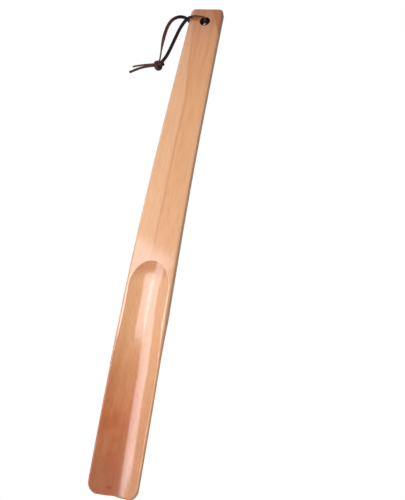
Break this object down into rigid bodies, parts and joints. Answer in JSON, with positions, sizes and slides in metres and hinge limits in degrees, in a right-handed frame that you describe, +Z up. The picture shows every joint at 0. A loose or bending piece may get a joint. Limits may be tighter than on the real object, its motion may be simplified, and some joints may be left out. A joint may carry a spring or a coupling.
{
  "type": "long shoehorn",
  "caption": "Long bowed wooden shoehorn with a scooped blade and a knotted leather lace looped through a hole in the handle.",
  "frame": {"origin": "middle of the handle's flat back, on its surface, 52.5 mm below the handle's end", "axes": "+Z up along the straight handle towards the end with the hole, +Y out of the flat back, so the scooped front faces -Y"},
  "size_m": [0.0789, 0.0399, 0.4189],
  "materials": {
    "lacquered_wood": "clear gloss lacquer over fine straight grain",
    "leather_lace": "dark brown flat thong, lightly waxed"
  },
  "bodies": {
    "horn": {"horn": "lacquered_wood"},
    "lace": {"lace_front_half": "leather_lace", "lace_back_half": "leather_lace", "lace_knot": "leather_lace", "lace_short_end": "leather_lace", "lace_long_end": "leather_lace"}
  },
  "joints": [
    {"name": "lace_swing", "type": "hinge", "parent": "horn", "child": "lace", "pos_m": [0, -0.0039, 0.0375], "axis": [0, 1, 0], "range_deg": [0, 145]}
  ]
}
